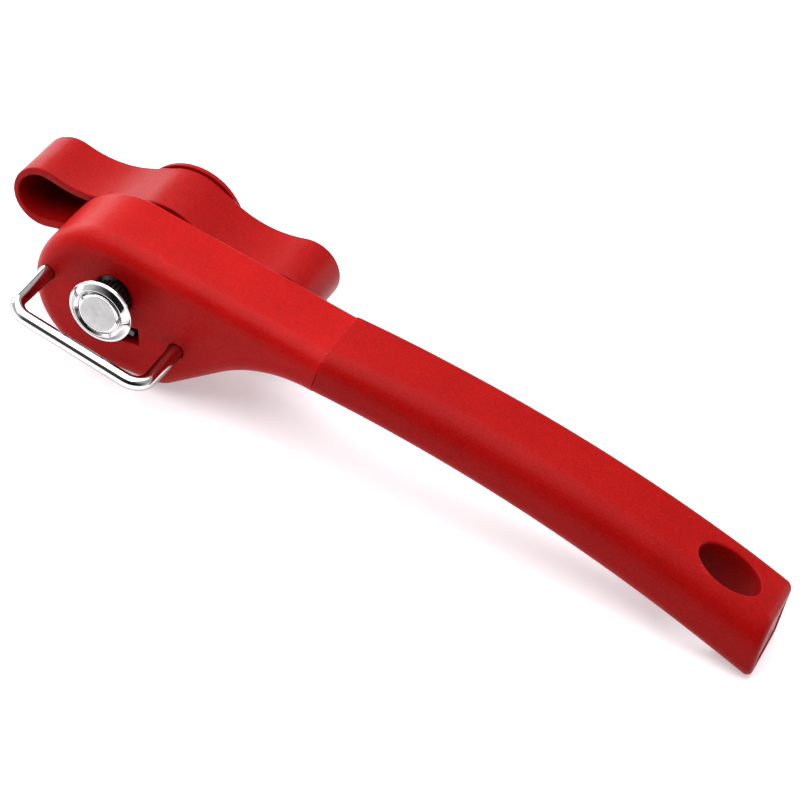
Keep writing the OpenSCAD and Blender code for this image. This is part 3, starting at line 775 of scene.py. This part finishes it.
def make_feed_wheel():
    """Toothed wheel with softened crests, and the nose that reaches in to the bush."""
    def outline(inset):
        pitch = 2 * math.pi / FEED_TEETH
        points = []
        for i in range(FEED_TEETH):
            for share, depth in TOOTH:
                a, r = pitch * (i + share), FEED_R - TOOTH_DEPTH * depth - inset
                points.append((r * math.cos(a), r * math.sin(a)))
        return points

    wheel = slab("opener_feed_wheel", outline, rounded(FEED_Y[0], FEED_Y[1], 0.25, 0.25, 3, 0))
    root, tip = FEED_Y[1] - 0.3, NOSE_Y - 0.05
    boolean(wheel, lathe("nose", [(0, root), (NOSE_R, root), (NOSE_R, NOSE_Y - 0.3),
                                  (NOSE_R - 0.2, tip), (0, tip)], 64), "UNION")
    boolean(wheel, hole(SHAFT_R + 0.05, -8.0, 2.0, count=64))
    return finish_piece(wheel, "drive", DARK_STEEL, "feed_wheel", 35)


def make_knob():
    def outer(inset):
        return ring_outline(knob_ring(), inset + SKIN, 28)

    def inner(inset):
        return ring_outline(knob_ring(KNOB_SIDE_WALL, KNOB_TIP_SHIFT), inset, 28)

    rim, face = KNOB_Y[0] + 0.02, KNOB_Y[1] - 0.02
    floor = KNOB_Y[1] - KNOB_FACE_T
    levels = [(face, outer(2.2))]
    levels += [(face - KNOB_EDGE_R * b, outer(KNOB_EDGE_R * a)) for a, b in quarter(8)]
    levels.append((rim + 6.0, outer(0)))
    levels += [(rim + KNOB_RIM_R[0] * a, outer(KNOB_RIM_R[0] * b)) for a, b in quarter(6)]
    levels += [(rim + KNOB_RIM_R[1] * b, inner(-KNOB_RIM_R[1] * a)) for a, b in quarter(4)]
    levels.append((rim + 6.0, inner(0)))
    levels += [(floor - KNOB_FILLET_R * a, inner(KNOB_FILLET_R * b)) for a, b in quarter(5)]
    levels.append((floor, inner(1.8)))
    shell = stack("opener_knob_shell", [[(x, y, z) for x, z in ring] for y, ring in levels])
    hub = [(0, HUB_Y), (HUB_R - 0.3, HUB_Y), (HUB_R, HUB_Y + 0.3), (HUB_R, floor + 0.3),
           (0, floor + 0.3)]
    boolean(shell, lathe("hub", hub, 72), "UNION")
    for turn in range(0, 360, 60):
        rib = box_mesh("rib", (HUB_R - 1, HUB_Y + 3, -RIB_HALF), (RIB_REACH, floor + 0.3, RIB_HALF))
        rib.data.transform(Matrix.Rotation(math.radians(turn), 4, "Y"))
        boolean(shell, rib, "UNION")
    boolean(shell, hole(SHAFT_R + 0.2, HUB_Y, SQUARE_Y[0] + 0.5, count=64))
    square = box_mesh("square", (-SQUARE_HALF, SQUARE_Y[0], -SQUARE_HALF),
                      (SQUARE_HALF, SQUARE_Y[1], SQUARE_HALF))
    square.data.transform(Matrix.Rotation(math.radians(45 + KNOB_TURN), 4, "Y"))
    boolean(shell, square)
    boolean(shell, hole(KNOB_SCREW_HOLE_R, 32.0, KNOB_Y[1] + 1, count=48))
    boolean(shell, hole(CAP_RECESS[0] + 0.1, KNOB_Y[1] - CAP_RECESS[1] + 1, KNOB_Y[1] + 1,
                        count=96))
    shell.data.transform(Matrix.Rotation(math.radians(-KNOB_TURN), 4, "Y"))
    return finish_piece(shell, "drive", RED_KNOB, "knob_shell", 30)


def make_hub_cap():
    base, top = KNOB_Y[1] + 0.02, KNOB_Y[1] + HUB_CAP_T - 0.02
    inner_y = KNOB_Y[1] - CAP_RECESS[1] + 0.1
    profile = [(0, KNOB_Y[1] + 0.9), (5, KNOB_Y[1] + 0.9), (5, inner_y), (CAP_RECESS[0], inner_y),
               (CAP_RECESS[0], base), (HUB_CAP_R - 0.2, base), (HUB_CAP_R, base + 0.2)]
    profile += [(HUB_CAP_R - HUB_CAP_EDGE_R * inset, top - HUB_CAP_EDGE_R * low)
                for low, inset in quarter(8)]
    profile += [(HUB_CAP_R - 1.6, top), (6, top), (0, top)]
    return finish_piece(lathe("opener_hub_cap", profile, 128), "drive", RED_KNOB,
                        "knob_hub_cap", 40)


make_head()
make_rear_cover()
make_grip()
make_end_plug()
make_guard_wire()
make_cutter_wheel()
make_wheel_cap()
make_feed_wheel()
make_knob()
make_hub_cap()

CARRIED = {
    "cover_screws": STEEL, "bearing_sleeve": STEEL, "stop_plate": BLACKED, "guard_clamp_plate": STEEL,
    "tang_pin": STEEL, "friction_washer": STEEL, "thrust_washer": STEEL, "shaft_clip": STEEL,
    "knob_washer": STEEL, "knob_screw": STEEL, "eccentric_bush": DARK_STEEL,
    "drive_shaft": DARK_STEEL, "cutter_bushing": BRONZE}
for node, finish in CARRIED.items():
    carried = frame["nodes"][node]
    carried.data.materials.clear()
    carried.data.materials.append(finish)


# ---- floor, light and camera ----
def make_floor():
    size, level = 3.0, -0.0002
    verts = [(x * size, y * size, level) for x, y in ((-1, -1), (1, -1), (1, 1), (-1, 1))]
    floor = mesh_from("studio_floor", verts, [(0, 1, 2, 3)])
    mat, nodes, links, shader = material("studio_floor")
    tone = ramp(nodes, links, noise(nodes, links, object_coords(nodes), 6.0),
                [(0.3, (0.66, 0.645, 0.665)), (0.7, (0.68, 0.665, 0.685))])
    links.new(tone, shader.inputs["Base Color"])
    shader.inputs["Roughness"].default_value = 0.9
    links.new(tone, shader.inputs["Emission Color"])
    shader.inputs["Emission Strength"].default_value = 0.55
    floor.data.materials.append(mat)


def make_world():
    """White backdrop behind, bright overhead, and a dark room in front."""
    world = bpy.data.worlds.new("studio")
    bpy.context.scene.world = world
    world.use_nodes = True
    nodes, links = world.node_tree.nodes, world.node_tree.links
    coords = nodes.new("ShaderNodeTexCoord")
    split = nodes.new("ShaderNodeSeparateXYZ")
    links.new(coords.outputs["Generated"], split.inputs["Vector"])
    sky = ramp(nodes, links, split.outputs["Z"],
               [(0.0, grey(1.0)), (0.3, grey(0.8)), (0.5, grey(0.4)),
                (0.75, grey(0.6)), (0.9, grey(1.0))])
    facing = nodes.new("ShaderNodeVectorMath")
    facing.operation = "DOT_PRODUCT"
    facing.inputs[1].default_value = (0.42, -0.905, 0.05)
    links.new(coords.outputs["Generated"], facing.inputs[0])
    room = ramp(nodes, links, facing.outputs["Value"],
                [(0.35, grey(1.0)), (0.7, grey(0.17)), (0.86, grey(0.02))])
    background = nodes["Background"]
    links.new(mix_colour(nodes, links, 1.0, sky, room, "MULTIPLY"), background.inputs["Color"])
    background.inputs["Strength"].default_value = 1.0


def area_light(name, at, aim, size, power):
    data = bpy.data.lights.new(name, "AREA")
    data.shape, data.size, data.size_y = "RECTANGLE", size[0], size[1]
    data.energy = power
    light = bpy.data.objects.new(name, data)
    light.location = at
    light.rotation_euler = (Vector(aim) - Vector(at)).to_track_quat("-Z", "Y").to_euler()
    bpy.context.scene.collection.objects.link(light)


def make_camera():
    azimuth, elevation, roll = (math.radians(a)
                                for a in (CAMERA_AZIMUTH, CAMERA_ELEVATION, CAMERA_ROLL))
    back = Vector((-math.sin(azimuth) * math.cos(elevation),
                   -math.cos(azimuth) * math.cos(elevation), math.sin(elevation)))
    right = Vector((0, 0, 1)).cross(back).normalized()
    up = back.cross(right)
    tilted = right * math.cos(roll) + up * math.sin(roll)
    camera = bpy.data.objects.new("camera", bpy.data.cameras.new("camera"))
    camera.matrix_world = Matrix.Translation(Vector(CAMERA_AIM) + back * CAMERA_DISTANCE) @ Matrix(
        (tilted, back.cross(tilted), back)).transposed().to_4x4()
    camera.data.lens, camera.data.sensor_width = LENS, 36.0
    camera.data.clip_start = 0.01
    bpy.context.scene.collection.objects.link(camera)
    bpy.context.scene.camera = camera


make_floor()
make_world()
area_light("key", (-0.2, 0.0, 0.65), (-0.02, 0, 0), (1.0, 1.0), 13.0)
area_light("left", (-0.65, 0.3, 0.2), (-0.05, 0, 0.02), (0.5, 0.2), 3.0)
area_light("right", (0.5, 0.45, 0.2), (0.0, 0, 0.02), (0.3, 0.2), 1.0)
make_camera()
bpy.context.scene.view_settings.view_transform = "Standard"
